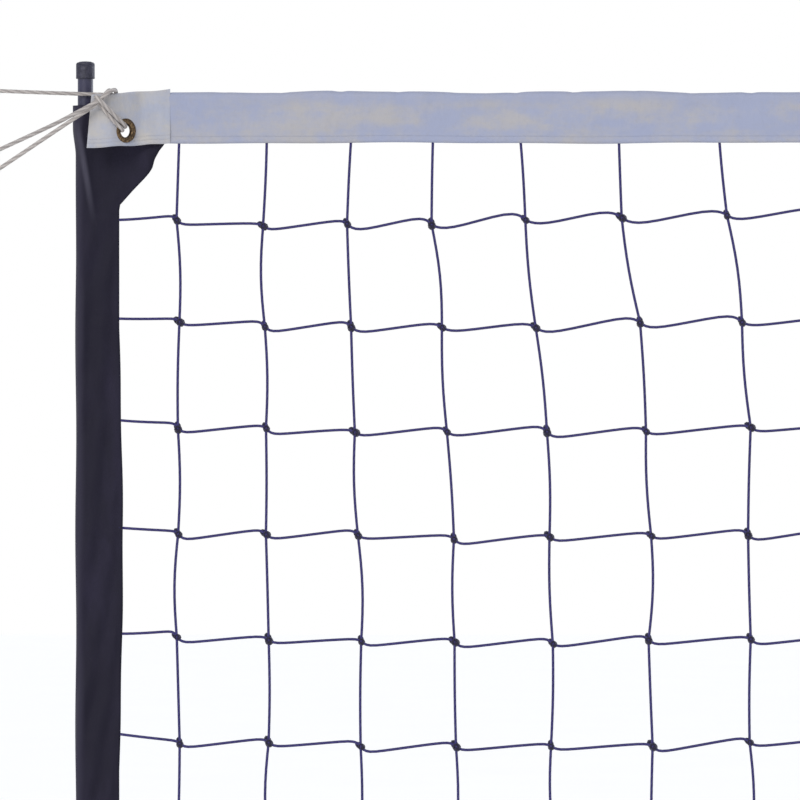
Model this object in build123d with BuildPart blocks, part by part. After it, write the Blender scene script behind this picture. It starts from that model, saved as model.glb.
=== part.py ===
"""Recreational volleyball net on two telescoping poles planted in the ground.

Millimetres, +Z up, +X along the net, -Y towards the side that the net's tabs face.
The origin is on the ground, midway between the two poles.
Each side piece is modelled on the left pole, and mirrored in the YZ plane for the right pole.
"""

import os
from math import acos, degrees, pi, radians, tan

from build123d import *

os.makedirs("parts", exist_ok=True)

# ---- driving dimensions -------------------------------------------------------------------
POLE_SPACING = 6100.0  # between the two pole axes
NET_TOP = 2240.0  # the tape's upper edge above the ground, at the lowest setting

# telescoping tubes, all with the same wall, each sliding in the one below it
TOP_R = 7.5  # the thinnest tube's outer radius
TUBE_WALL = 1.2
TUBE_CLEARANCE = 0.3
MIDDLE_LENGTH = 780.0
MIDDLE_OVERLAP = 326.0  # how far the middle tube reaches into the bottom one
TOP_OVERLAP = 222.0  # how far the top tube reaches into the middle one
LOCK_BELOW_NET = 56.8  # from the net's foot down to the middle tube's end, where the upper lock is
POLE_ABOVE_TAPE = 28.0  # the top tube's end above the tape

# end cap on the top tube
CAP_WALL = 1.6
CAP_TOP = 2.2
CAP_HEIGHT = 17.0

# foot plug and ground spike
FLANGE_R = 24.0
FLANGE_THICKNESS = 6.0
PLUG_DEPTH = 32.0
SPIKE_R = 6.0
SPIKE_BELOW = 190.0
SPIKE_POINT = 26.0
SPIKE_SHOULDER = 1.0  # below the flange, where the spike steps down to its shank
SHANK_R = 4.5
SHANK_INSIDE = 26.0
RELIEF_DEPTH = 2.0  # of the recess in the plug's face, round the shank
RELIEF_CLEARANCE = 0.3

# twist locks, one at the upper end of the bottom tube and one on the middle tube
LOCK_BASE_WALL = 2.6
LOCK_GRIP_WALL = 4.6
LOCK_GRIP_HEIGHT = 14.0
LOCK_CHAMFER = 0.8
LOCK_THREAD_HEIGHT = 20.0
LOCK_CLEARANCE = 0.3
LOCK_NUT_WALL = 3.0
LOCK_LIP = 3.0
LOCK_LIP_CLEARANCE = 0.6
COLLET_HEIGHT = 10.0
COLLET_CLEARANCE = 0.3
COLLET_SLIT = 2.0
COLLET_TAPER = 6.0
NUT_RIBS = 14
NUT_GROOVE_R = 1.1

# guide plug at the lower end of each sliding tube
GUIDE_CLEARANCE = 0.15
GUIDE_HEAD = 10.0
GUIDE_SPIGOT = 14.0

# net of square meshes, knotted from one twine
TWINE = 2.6
MESH_BAR = 101.6
MESH_ROWS = 9
COLUMNS = 69
FIRST_COLUMN = 90.4  # from the pole axis to the first upright twine
TOP_KNOTS = 20.9  # the uppermost row of knots, below the tape's upper edge

# ropes
HEADLINE_D = 4.2
HEADLINE_GAP = 0.8  # between the headline and the pole that it passes in front of
GUY_D = 4.4
FOOT_ROPE_D = 4.2

# tape along the top and hem along the bottom, each a folded strip
TAPE_HEIGHT = 49.0
TAPE_WALL = 0.9
FOLD_CLEARANCE = 0.5
TAPE_END = 66.0  # from the pole axis to the tape's end
HEM_HEIGHT = 25.0

# sleeve over the top tube, with a corner gusset under the tape
SLEEVE_WALL = 0.8
SLEEVE_SLACK = 0.7
SLEEVE_EDGE = 34.5  # from the pole axis to the sleeve's sewn edge
SLEEVE_TOP = 13.0  # below the tape's upper edge
EDGE_R = 1.0
GUSSET_REACH = 77.0
GUSSET_DEPTH = 110.0
GUSSET_HIDDEN = 3.5  # how far it reaches up behind the tape
GUSSET_BEND = (64.5, 75.0)  # a point on its curved edge: out from the pole, down from the tape's top

# tab sewn to each end of the tape: its back face in plan, out from the pole and towards the front
TAB_ROOT = 84.5
TAB_SEAM = 80.0  # from its root to here it is sewn flat to the tape
TAB_BENDS = ((54.0, -17.5), (27.0, -38.6))
TAB_FREE_END = -41.0
# its outline in elevation: out from the pole, and up from the tape's upper edge
TAB_OUTLINE = ((TAB_ROOT, 1.5), (6.2, -4.4), (1.4, -5.9 - TAPE_HEIGHT), (TAB_ROOT, 0.4 - TAPE_HEIGHT))
TAB_THICKNESS = 2.0
EYELET_X = 39.3  # from the pole axis to it
EYELET_DOWN = 38.2  # from the tape's upper edge to the eyelet's centre
EYELET_HOLE_R = 6.4
EYELET_FLANGE_R = 12.0
EYELET_WALL = 0.7

# the guy rope's hitch on the tab, doubled, from its bight through the eyelet and over the tab's edge:
# out from the pole, across, and up from the tape's upper edge
HITCH_R = 3.1
HITCH_BEND = 3.9
HITCH_ROUTE = [
    (13.5, -45.6, -7.5),
    (29.7, -45.0, -24.0),
    (43.4, -34.6, -38.2),
    (36.6, -25.9, -38.2),
    (27.0, -33.6, 1.6),
    (23.0, -46.6, 1.6),
    (15.4, -49.4, -4.0),
]

# what is left of the ropes that are pulled tight: a straight leg, a wrapped knot, then an eye
HEADLINE_RISE = (-3.5, 2.0)  # its two ends' heights over the tape's upper edge
HEADLINE_END = -107.0
TAIL_SET_BACK = 0.08  # by which its slanting end clears the level end of the headline
FRONT_GUY = [(14.4, -49.9, -5.4), (-104.0, -101.0, -70.2)]
REAR_GUY = [(11.6, -45.4, -8.4), (-1.4, -45.8, -17.4), (-102.0, -1.4, -86.6)]
KNOT_R = 4.7
KNOT_LENGTH = 17.0
EYE_HALF = [(2.6, 0.0), (3.6, 9.0), (13.0, 27.0), (13.0, 52.0)]  # across the rope, and out beyond the knot
EYE_ROUTE = EYE_HALF + [(-across, out) for across, out in reversed(EYE_HALF)]
ARC_SHARE = 0.45  # of the shorter run beside a corner

# ---- places worked out from them ----------------------------------------------------------
POLE_X = -POLE_SPACING / 2
NET_Y = -(TOP_R + HEADLINE_GAP + HEADLINE_D / 2)  # the net hangs in a plane just in front of the poles
HEADLINE_TAIL = [(TAPE_END - TAIL_SET_BACK, NET_Y, HEADLINE_RISE[0]), (HEADLINE_END, NET_Y, HEADLINE_RISE[1])]
COLUMN_PITCH = (POLE_SPACING - 2 * FIRST_COLUMN) / (COLUMNS - 1)
KNOTS_TOP = NET_TOP - TOP_KNOTS
KNOTS_FOOT = KNOTS_TOP - MESH_ROWS * MESH_BAR
FOLD_R = HEADLINE_D / 2 + FOLD_CLEARANCE
HEM_FOOT = KNOTS_FOOT - TWINE / 2 - FOLD_CLEARANCE - 2 * FOLD_R - TAPE_WALL
MIDDLE_R = TOP_R + TUBE_CLEARANCE + TUBE_WALL
BOTTOM_R = MIDDLE_R + TUBE_CLEARANCE + TUBE_WALL
MIDDLE_TOP = HEM_FOOT - LOCK_BELOW_NET
MIDDLE_FOOT = MIDDLE_TOP - MIDDLE_LENGTH
BOTTOM_TOP = MIDDLE_FOOT + MIDDLE_OVERLAP
TOP_FOOT = MIDDLE_TOP - TOP_OVERLAP
TOP_END = NET_TOP + POLE_ABOVE_TAPE
POCKET_R = TOP_R + SLEEVE_SLACK
GUSSET_TOP = TAPE_HEIGHT - GUSSET_HIDDEN

pieces = {}


def keep(node, part):
    """Label a finished piece and note it under its node's name."""
    part.label = node
    pieces[node] = part


def keep_pair(node, part):
    """Keep a piece of the left pole, and its mirror image for the right pole."""
    keep("left_" + node, part)
    keep("right_" + node, mirror(part, about=Plane.YZ))


def on_pole(z):
    """A level plane centred on the left pole's axis."""
    return Plane((POLE_X, 0, z))


# ---- poles --------------------------------------------------------------------------------
def tube(radius, foot, length):
    with BuildPart() as built:
        with BuildSketch(on_pole(foot)):
            Circle(radius)
            Circle(radius - TUBE_WALL, mode=Mode.SUBTRACT)
        extrude(amount=length)
    return built.part


def end_cap():
    cap_r = TOP_R + CAP_WALL
    foot = TOP_END + CAP_TOP - CAP_HEIGHT
    with BuildPart() as cap:
        with BuildSketch(on_pole(foot)):
            Circle(cap_r)
        extrude(amount=CAP_HEIGHT)
        fillet(cap.faces().sort_by(Axis.Z)[-1].edges(), CAP_WALL)
        with BuildSketch(on_pole(foot)):
            Circle(TOP_R)
        extrude(amount=CAP_HEIGHT - CAP_TOP, mode=Mode.SUBTRACT)
    return cap.part


def foot_plug():
    with BuildPart() as plug:
        with BuildSketch(on_pole(0)):
            Circle(FLANGE_R)
        extrude(amount=FLANGE_THICKNESS)
        fillet(plug.edges().filter_by(GeomType.CIRCLE).sort_by(Axis.Z)[-1], FLANGE_THICKNESS / 3)
        with BuildSketch(on_pole(FLANGE_THICKNESS)):
            Circle(BOTTOM_R - TUBE_WALL)
        extrude(amount=PLUG_DEPTH)
        with BuildSketch(on_pole(0)):
            Circle(SHANK_R)
        extrude(amount=SHANK_INSIDE, mode=Mode.SUBTRACT)
        with BuildSketch(on_pole(0)):
            Circle(SPIKE_R + RELIEF_CLEARANCE)
        extrude(amount=RELIEF_DEPTH, mode=Mode.SUBTRACT)
    return plug.part


def ground_spike():
    """Pointed steel rod, whose thinner shank is pressed in the foot plug."""
    with BuildPart() as spike:
        with BuildSketch(on_pole(-SPIKE_SHOULDER)):
            Circle(SHANK_R)
        extrude(amount=SPIKE_SHOULDER + SHANK_INSIDE)
        with BuildSketch(on_pole(SPIKE_POINT - SPIKE_BELOW)):
            Circle(SPIKE_R)
        extrude(amount=SPIKE_BELOW - SPIKE_POINT - SPIKE_SHOULDER)
        with BuildSketch(on_pole(SPIKE_POINT - SPIKE_BELOW)):
            Circle(SPIKE_R)
        with BuildSketch(on_pole(-SPIKE_BELOW)):
            Circle(SPIKE_R / 6)
        loft()
    return spike.part


def guide_plug(radius, outer_radius, foot):
    """Plug in the foot of a sliding tube, whose head runs in the tube around it."""
    with BuildPart() as guide:
        with BuildSketch(on_pole(foot - GUIDE_HEAD)):
            Circle(outer_radius - TUBE_WALL - GUIDE_CLEARANCE)
        extrude(amount=GUIDE_HEAD)
        with BuildSketch(on_pole(foot)):
            Circle(radius - TUBE_WALL)
        extrude(amount=GUIDE_SPIGOT)
    return guide.part


# ---- twist locks --------------------------------------------------------------------------
def lock_base(radius, top):
    """Threaded collar pressed on the outer tube's end, with a wider grip below the thread."""
    foot = top - LOCK_THREAD_HEIGHT - LOCK_GRIP_HEIGHT
    with BuildPart() as base:
        with BuildSketch(on_pole(foot)):
            Circle(radius + LOCK_GRIP_WALL)
            Circle(radius, mode=Mode.SUBTRACT)
        extrude(amount=LOCK_GRIP_HEIGHT)
        chamfer(base.edges().filter_by(GeomType.CIRCLE).sort_by(Axis.Z)[:1], LOCK_CHAMFER)
        with BuildSketch(on_pole(foot + LOCK_GRIP_HEIGHT)):
            Circle(radius + LOCK_BASE_WALL)
            Circle(radius, mode=Mode.SUBTRACT)
        extrude(amount=LOCK_THREAD_HEIGHT)
    return base.part


def lock_nut(radius, inner_radius, top):
    """Ribbed nut over the thread, whose lip closes on the collet and lets the inner tube through."""
    bore_r = radius + LOCK_BASE_WALL + LOCK_CLEARANCE
    nut_r = bore_r + LOCK_NUT_WALL
    foot = top - LOCK_THREAD_HEIGHT + LOCK_CLEARANCE
    cavity = LOCK_THREAD_HEIGHT + COLLET_HEIGHT + LOCK_CLEARANCE
    with BuildPart() as nut:
        with BuildSketch(on_pole(foot)):
            Circle(nut_r)
            with PolarLocations(nut_r + NUT_GROOVE_R / 3, NUT_RIBS):
                Circle(NUT_GROOVE_R, mode=Mode.SUBTRACT)
        extrude(amount=cavity + LOCK_LIP)
        with BuildSketch(on_pole(foot)):
            Circle(bore_r)
        extrude(amount=cavity, mode=Mode.SUBTRACT)
        with BuildSketch(on_pole(foot)):
            Circle(inner_radius + LOCK_LIP_CLEARANCE)
        extrude(amount=cavity + LOCK_LIP, mode=Mode.SUBTRACT)
    return nut.part


def lock_collet(radius, inner_radius, top):
    """Split ring, tapered outside, that the nut squeezes on the inner tube."""
    with BuildPart() as collet:
        with BuildSketch(on_pole(top)):
            Circle(radius + LOCK_BASE_WALL - LOCK_CLEARANCE)
        extrude(amount=COLLET_HEIGHT, taper=COLLET_TAPER)
        with BuildSketch(on_pole(top)):
            Circle(inner_radius + COLLET_CLEARANCE)
            with Locations((radius, 0)):
                Rectangle(2 * radius, COLLET_SLIT)
        extrude(amount=COLLET_HEIGHT, mode=Mode.SUBTRACT)
    return collet.part


# ---- net, tape and hem --------------------------------------------------------------------
def net_mesh():
    """The knotted net as one perforated sheet of the twine's thickness, open at both ends."""
    edge_x = POLE_SPACING / 2 - SLEEVE_EDGE - FOLD_CLEARANCE
    end_gap = FIRST_COLUMN - SLEEVE_EDGE
    middle_z = (KNOTS_TOP + KNOTS_FOOT) / 2
    end_x = (COLUMNS - 1) * COLUMN_PITCH / 2 + TWINE / 2 + end_gap / 2
    with BuildPart() as net:
        with BuildSketch(Plane((0, NET_Y + TWINE / 2, middle_z), x_dir=(1, 0, 0), z_dir=(0, -1, 0))):
            Rectangle(2 * edge_x, KNOTS_TOP - KNOTS_FOOT + TWINE)
            with GridLocations(COLUMN_PITCH, MESH_BAR, COLUMNS - 1, MESH_ROWS):
                Rectangle(COLUMN_PITCH - TWINE, MESH_BAR - TWINE, mode=Mode.SUBTRACT)
            with GridLocations(2 * end_x, MESH_BAR, 2, MESH_ROWS):
                Rectangle(end_gap, MESH_BAR - TWINE, mode=Mode.SUBTRACT)
        extrude(amount=TWINE)
    return net.part


def folded_strip(start_x, fold_z, height, up):
    """A strip folded lengthwise round a rope: two layers that hang from the fold, or stand on it."""
    way = 1 if up else -1
    outer_r = FOLD_R + TAPE_WALL
    with BuildPart() as strip:
        with BuildSketch(Plane((start_x, NET_Y, fold_z), x_dir=(0, 1, 0), z_dir=(1, 0, 0))):
            Circle(outer_r)
            with Locations((0, way * (height - outer_r) / 2)):
                Rectangle(2 * outer_r, height - outer_r)
            Circle(FOLD_R, mode=Mode.SUBTRACT)
            with Locations((0, way * (height - outer_r) / 2)):
                Rectangle(2 * FOLD_R, height - outer_r, mode=Mode.SUBTRACT)
        extrude(amount=-2 * start_x)
    return strip.part


def rope_in_fold(start_x, z, diameter):
    with BuildPart() as rope:
        with BuildSketch(Plane((start_x, NET_Y, z), x_dir=(0, 1, 0), z_dir=(1, 0, 0))):
            Circle(diameter / 2)
        extrude(amount=-2 * start_x)
    return rope.part


def teardrop(radius, edge_radius, edge_x, edge_y):
    """Outline round a circle at the origin and a small one beside it, with the two lines that touch both."""
    span = Vector(edge_x, edge_y)
    toward = Vector(1, 0).get_signed_angle(span, Vector(0, 0, 1))
    spread = degrees(acos((radius - edge_radius) / span.length))
    big = [Vector(radius, 0).rotate(Axis.Z, toward + turn) for turn in (spread, 180, -spread)]
    small = [span + Vector(edge_radius, 0).rotate(Axis.Z, toward + turn) for turn in (-spread, 0, spread)]
    with BuildLine() as outline:
        ThreePointArc(*big)
        Line(big[-1], small[0])
        ThreePointArc(*small)
        Line(small[-1], big[0])
    return outline.line


def side_sleeve():
    """Fabric pocket round the top tube, drawn out to its sewn edge, with a gusset up to the tape."""
    edge_x = SLEEVE_EDGE - EDGE_R
    length = NET_TOP - SLEEVE_TOP - HEM_FOOT
    outside = teardrop(POCKET_R + SLEEVE_WALL, EDGE_R, edge_x, NET_Y)
    inside = teardrop(POCKET_R, EDGE_R / 4, edge_x - 2 * SLEEVE_WALL, NET_Y + SLEEVE_WALL / 4)
    with BuildPart() as sleeve:
        with BuildSketch(on_pole(HEM_FOOT)):
            with BuildLine():
                add(outside)
            make_face()
            with BuildLine():
                add(inside)
            make_face(mode=Mode.SUBTRACT)
        extrude(amount=length)
        with BuildSketch(Plane((POLE_X, NET_Y + SLEEVE_WALL, NET_TOP), x_dir=(1, 0, 0), z_dir=(0, -1, 0))):
            with BuildLine():
                Polyline(
                    (edge_x, -GUSSET_DEPTH),
                    (edge_x, -GUSSET_TOP),
                    (GUSSET_REACH, -GUSSET_TOP),
                    (GUSSET_REACH, -TAPE_HEIGHT),
                )
                bend = (GUSSET_BEND[0], -GUSSET_BEND[1])
                ThreePointArc((GUSSET_REACH, -TAPE_HEIGHT), bend, (edge_x, -GUSSET_DEPTH))
            make_face()
        extrude(amount=2 * SLEEVE_WALL)
    return sleeve.part


# ---- tab, eyelet and the ropes tied to it -------------------------------------------------
def from_tape(point):
    """A place given out from the left pole, across, and up from the tape's upper edge."""
    return Vector(POLE_X + point[0], point[1], NET_TOP + point[2])


TAPE_FACE = NET_Y - FOLD_R - TAPE_WALL
EYELET_TURN = Vector(TAB_BENDS[1][0] - TAB_BENDS[0][0], TAB_BENDS[1][1] - TAB_BENDS[0][1], 0).normalized()
EYELET_NORMAL = EYELET_TURN.cross(Vector(0, 0, -1))
EYELET_ALONG = (EYELET_X - TAB_BENDS[0][0]) / EYELET_TURN.X
EYELET_BACK = from_tape((*TAB_BENDS[0], -EYELET_DOWN)) + EYELET_TURN * EYELET_ALONG


def tape_tab():
    """Doubled end of the tape: sewn flat to it, then turned to the front, and flat again at its end."""
    with BuildPart() as tab:
        with BuildSketch(on_pole(NET_TOP - 2 * TAPE_HEIGHT)):
            with BuildLine():
                Polyline(
                    (TAB_ROOT, TAPE_FACE),
                    (TAB_SEAM, TAPE_FACE),
                    *TAB_BENDS,
                    (0, TAB_FREE_END),
                )
                offset(amount=TAB_THICKNESS, side=Side.LEFT)
            make_face()
        extrude(amount=3 * TAPE_HEIGHT)
        with BuildSketch(Plane((POLE_X, 0, NET_TOP), x_dir=(1, 0, 0), z_dir=(0, -1, 0))):
            with BuildLine():
                Polyline(*TAB_OUTLINE, close=True)
            make_face()
        extrude(amount=-TAB_FREE_END + 3 * TAB_THICKNESS, mode=Mode.INTERSECT)
        with BuildSketch(Plane(EYELET_BACK, z_dir=EYELET_NORMAL)):
            Circle(EYELET_HOLE_R + EYELET_WALL)
        extrude(amount=TAB_THICKNESS, both=True, mode=Mode.SUBTRACT)
    return tab.part


def eyelet_barrel():
    """Rolled half of the eyelet: a front flange and the barrel through the tab."""
    front = Plane(EYELET_BACK + EYELET_NORMAL * TAB_THICKNESS, z_dir=EYELET_NORMAL)
    with BuildPart() as barrel:
        with BuildSketch(front):
            Circle(EYELET_FLANGE_R)
            Circle(EYELET_HOLE_R, mode=Mode.SUBTRACT)
        extrude(amount=2 * EYELET_WALL)
        rims = barrel.edges().filter_by(GeomType.CIRCLE).group_by(SortBy.RADIUS)[-1]
        fillet(rims.sort_by(Axis.Y)[0], EYELET_WALL)
        with BuildSketch(front):
            Circle(EYELET_HOLE_R + EYELET_WALL)
            Circle(EYELET_HOLE_R, mode=Mode.SUBTRACT)
        extrude(amount=-TAB_THICKNESS)
    return barrel.part


def eyelet_washer():
    """Plain half of the eyelet, clenched on the tab's back."""
    with BuildPart() as washer:
        with BuildSketch(Plane(EYELET_BACK, z_dir=EYELET_NORMAL)):
            Circle(EYELET_FLANGE_R)
            Circle(EYELET_HOLE_R, mode=Mode.SUBTRACT)
        extrude(amount=-EYELET_WALL)
    return washer.part


def corner_radii(points):
    """The radius of the arc at each corner of a route: as large as its two runs allow."""
    radii = []
    for before, corner, after in zip(points, points[1:], points[2:]):
        arriving = corner - before
        leaving = after - corner
        half_turn = radians(arriving.get_angle(leaving) / 2)
        radii.append(ARC_SHARE * min(arriving.length, leaving.length) / tan(half_turn))
    return radii


def rope_tube(name, points, radius, bend=None):
    """A round tube along a route of straight runs, joined by arcs."""
    radii = [bend] * (len(points) - 2) if bend else corner_radii(points)
    print(name, "radii", [round(each, 1) for each in radii])
    with BuildPart() as rope:
        with BuildLine() as route:
            if radii:
                FilletPolyline(*points, radius=radii)
            else:
                Line(*points)
        with BuildSketch(Plane(route.wire() @ 0, z_dir=route.wire() % 0)):
            Circle(radius)
        sweep()
    plain_volume = pi * radius**2 * route.wire().length
    print(name, "volume over section times length", round(rope.part.volume / plain_volume, 3))
    return rope.part


def rope_eye(name, start, way, diameter):
    """A rope's end: a wrapped knot, and an upright eye beyond it."""
    upright = (Vector(0, 0, 1) - way * way.Z).normalized()
    with BuildPart() as eye:
        with BuildSketch(Plane(start, z_dir=way)):
            Circle(KNOT_R)
        extrude(amount=KNOT_LENGTH)
        fillet(eye.edges(), KNOT_R / 3)
        route = [start + way * (KNOT_LENGTH + out) + upright * across for across, out in EYE_ROUTE]
        add(rope_tube(name, route, diameter / 2))
    return eye.part


# ---- the whole object ---------------------------------------------------------------------
def build_poles():
    keep_pair("bottom_tube", tube(BOTTOM_R, FLANGE_THICKNESS, BOTTOM_TOP - FLANGE_THICKNESS))
    keep_pair("middle_tube", tube(MIDDLE_R, MIDDLE_FOOT, MIDDLE_LENGTH))
    keep_pair("top_tube", tube(TOP_R, TOP_FOOT, TOP_END - TOP_FOOT))
    keep_pair("end_cap", end_cap())
    keep_pair("foot_plug", foot_plug())
    keep_pair("ground_spike", ground_spike())
    keep_pair("middle_guide", guide_plug(MIDDLE_R, BOTTOM_R, MIDDLE_FOOT))
    keep_pair("top_guide", guide_plug(TOP_R, MIDDLE_R, TOP_FOOT))
    for name, outer, inner, top in (
        ("lower", BOTTOM_R, MIDDLE_R, BOTTOM_TOP),
        ("upper", MIDDLE_R, TOP_R, MIDDLE_TOP),
    ):
        keep_pair(name + "_lock_base", lock_base(outer, top))
        keep_pair(name + "_lock_nut", lock_nut(outer, inner, top))
        keep_pair(name + "_lock_collet", lock_collet(outer, inner, top))


def build_net():
    strip_start = POLE_X + TAPE_END
    hem_start = POLE_X + SLEEVE_EDGE + FOLD_CLEARANCE
    top_fold = NET_TOP - FOLD_R - TAPE_WALL
    foot_fold = HEM_FOOT + FOLD_R + TAPE_WALL
    keep("net_mesh", net_mesh())
    keep("top_tape", folded_strip(strip_start, top_fold, TAPE_HEIGHT, up=False))
    keep("headline", rope_in_fold(strip_start, top_fold, HEADLINE_D))
    keep("bottom_hem", folded_strip(hem_start, foot_fold, HEM_HEIGHT, up=True))
    keep("foot_rope", rope_in_fold(hem_start, foot_fold, FOOT_ROPE_D))
    keep_pair("side_sleeve", side_sleeve())
    keep_pair("tape_tab", tape_tab())
    keep_pair("eyelet_barrel", eyelet_barrel())
    keep_pair("eyelet_washer", eyelet_washer())


def build_ropes():
    """The hitch on the tab, and what is left of the ropes that are pulled tight, each with its eye."""
    hitch = [from_tape(each) for each in HITCH_ROUTE]
    keep_pair("guy_hitch", rope_tube("guy_hitch", hitch, HITCH_R, HITCH_BEND))
    for name, route, diameter in (
        ("headline", HEADLINE_TAIL, HEADLINE_D),
        ("front_guy", FRONT_GUY, GUY_D),
        ("rear_guy", REAR_GUY, GUY_D),
    ):
        points = [from_tape(each) for each in route]
        way = (points[-1] - points[-2]).normalized()
        keep_pair(name + "_tail", rope_tube(name + "_tail", points, diameter / 2))
        keep_pair(name + "_eye", rope_eye(name + "_eye", points[-1], way, diameter))


build_poles()
build_net()
build_ropes()
for node, part in pieces.items():
    export_step(part, f"parts/{node}.step")
print(len(pieces), "nodes; column pitch", round(COLUMN_PITCH, 2), "hem foot", round(HEM_FOOT, 1))
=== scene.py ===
"""Looks of a light garden volleyball net: knotted twine, taped edge, sleeved poles and guy ropes.

Metres throughout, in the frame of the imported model: +X along the net, -Y towards its tabs, +Z up.
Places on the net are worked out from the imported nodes. Lengths written in millimetres go through MM.
"""

import bpy
import numpy as np
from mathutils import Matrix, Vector


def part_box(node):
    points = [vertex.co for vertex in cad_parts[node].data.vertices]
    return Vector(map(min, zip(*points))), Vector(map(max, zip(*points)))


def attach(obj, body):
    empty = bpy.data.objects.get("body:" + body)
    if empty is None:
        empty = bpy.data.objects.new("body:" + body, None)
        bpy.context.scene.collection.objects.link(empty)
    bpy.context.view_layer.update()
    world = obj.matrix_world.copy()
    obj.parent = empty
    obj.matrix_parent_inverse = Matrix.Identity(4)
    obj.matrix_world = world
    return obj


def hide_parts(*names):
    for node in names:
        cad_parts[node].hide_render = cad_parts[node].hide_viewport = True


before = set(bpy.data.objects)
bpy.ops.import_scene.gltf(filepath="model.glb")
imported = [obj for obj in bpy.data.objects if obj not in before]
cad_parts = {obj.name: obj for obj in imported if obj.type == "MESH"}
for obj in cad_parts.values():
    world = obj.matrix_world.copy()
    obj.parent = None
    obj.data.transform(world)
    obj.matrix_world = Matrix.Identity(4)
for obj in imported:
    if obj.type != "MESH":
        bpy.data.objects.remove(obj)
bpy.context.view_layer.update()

MM = 0.001
NET_BODY = "net_and_top_tubes"
SIDES = {"left": 1, "right": -1}

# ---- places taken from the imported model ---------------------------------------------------
tape_low, tape_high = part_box("top_tape")
net_low, net_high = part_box("net_mesh")
tube_low, tube_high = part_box("left_top_tube")
sleeve_low, sleeve_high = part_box("left_side_sleeve")
hem_low, hem_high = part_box("bottom_hem")
cap_low, cap_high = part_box("left_end_cap")
POLE_X = (tube_low.x + tube_high.x) / 2
TOP = tape_high.z
NET_Y = (net_low.y + net_high.y) / 2
TUBE_R = (tube_high.x - tube_low.x) / 2
TAPE_HEIGHT = TOP - tape_low.z

# ---- the net's own sizes ------------------------------------------------------------------
TWINE_R = 1.5 * MM
TWINE_SIDES = 6
MESH_BAR = 101.6 * MM
ROWS = 9
COLUMNS = 69
FIRST_COLUMN = 90.4 * MM
TOP_KNOTS = 20.9 * MM
INTO_SLEEVE = 33.0 * MM
COLUMN_PITCH = 2 * (-POLE_X - FIRST_COLUMN) / (COLUMNS - 1)
ROPE_D = 4.0 * MM
HEADLINE_D = 3.8 * MM


# ---- shaders ------------------------------------------------------------------------------
class Value:
    """A shader socket that arithmetic works on: each expression adds its Math nodes."""

    def __init__(self, finish, socket):
        self.finish = finish
        self.socket = socket

    def math(self, operation, first, second=None):
        return self.finish.node("ShaderNodeMath", {"operation": operation}, {0: first, 1: second})

    def __add__(self, other):
        return self.math("ADD", self, other)

    def __radd__(self, other):
        return self.math("ADD", other, self)

    def __sub__(self, other):
        return self.math("SUBTRACT", self, other)

    def __rsub__(self, other):
        return self.math("SUBTRACT", other, self)

    def __mul__(self, other):
        return self.math("MULTIPLY", self, other)

    def __rmul__(self, other):
        return self.math("MULTIPLY", other, self)

    def __truediv__(self, other):
        return self.math("DIVIDE", self, other)

    def sine(self):
        return self.math("SINE", self)

    def size(self):
        return self.math("ABSOLUTE", self)

    def between(self, low, high):
        """0 at or under low, 1 at or over high, and smooth between them."""
        settings = {"interpolation_type": "SMOOTHSTEP"}
        sockets = {"Value": self, "From Min": low, "From Max": high}
        return self.finish.node("ShaderNodeMapRange", settings, sockets)


class Finish:
    """A procedural material under construction, round one Principled shader."""

    def __init__(self, name, **constants):
        self.material = bpy.data.materials.new(name)
        self.material.use_nodes = True
        self.nodes = self.material.node_tree.nodes
        self.links = self.material.node_tree.links
        self.shader = self.nodes["Principled BSDF"]
        for socket, constant in constants.items():
            self.shader.inputs[socket.replace("_", " ")].default_value = constant

    def node(self, kind, settings=None, sockets=None, out=0):
        """Add a node: its settings first, then its sockets' values or links. Gives one output."""
        made = self.nodes.new(kind)
        for setting, value in (settings or {}).items():
            setattr(made, setting, value)
        for socket, value in (sockets or {}).items():
            if isinstance(value, Value):
                self.links.new(value.socket, made.inputs[socket])
            elif value is not None:
                made.inputs[socket].default_value = value
        return Value(self, made.outputs[out])

    def place(self):
        """Where a point is, in metres, in the object's own frame."""
        return self.node("ShaderNodeTexCoord", out=3)

    def parts(self, vector):
        """The three numbers of a vector."""
        made = self.node("ShaderNodeSeparateXYZ", None, {0: vector})
        return [Value(self, each) for each in made.socket.node.outputs]

    def uv(self):
        """The two numbers of the piece's UV map: round or across it, and along it, in metres."""
        return self.parts(self.node("ShaderNodeUVMap", {"uv_map": "UVMap"}))[:2]

    def noise(self, scale, detail=2.0, roughness=0.5, stretch=None):
        """Soft blotches with about scale of them in a metre, drawn out where stretch is under 1."""
        place = self.place()
        if stretch:
            place = self.node("ShaderNodeMapping", None, {"Vector": place, "Scale": stretch})
        sockets = {"Vector": place, "Scale": scale, "Detail": detail, "Roughness": roughness}
        return self.node("ShaderNodeTexNoise", None, sockets)

    def mix(self, factor, first, second):
        """A colour between two, by factor."""
        made = self.node("ShaderNodeMix", {"data_type": "RGBA"}, {0: factor}).socket.node
        for index, color in ((6, first), (7, second)):
            if isinstance(color, Value):
                self.links.new(color.socket, made.inputs[index])
            else:
                made.inputs[index].default_value = (*color, 1.0)
        return Value(self, made.outputs[2])

    def bump(self, height, distance, strength=1.0, under=None):
        """A normal for a relief of that height, in metres, over another one if there is one."""
        sockets = {"Height": height, "Distance": distance, "Strength": strength, "Normal": under}
        return self.node("ShaderNodeBump", None, sockets)

    def feed(self, **sockets):
        """Link what varies over the surface to the shader, and give the material."""
        for socket, value in sockets.items():
            self.links.new(value.socket, self.shader.inputs[socket.replace("_", " ")])
        return self.material


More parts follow.
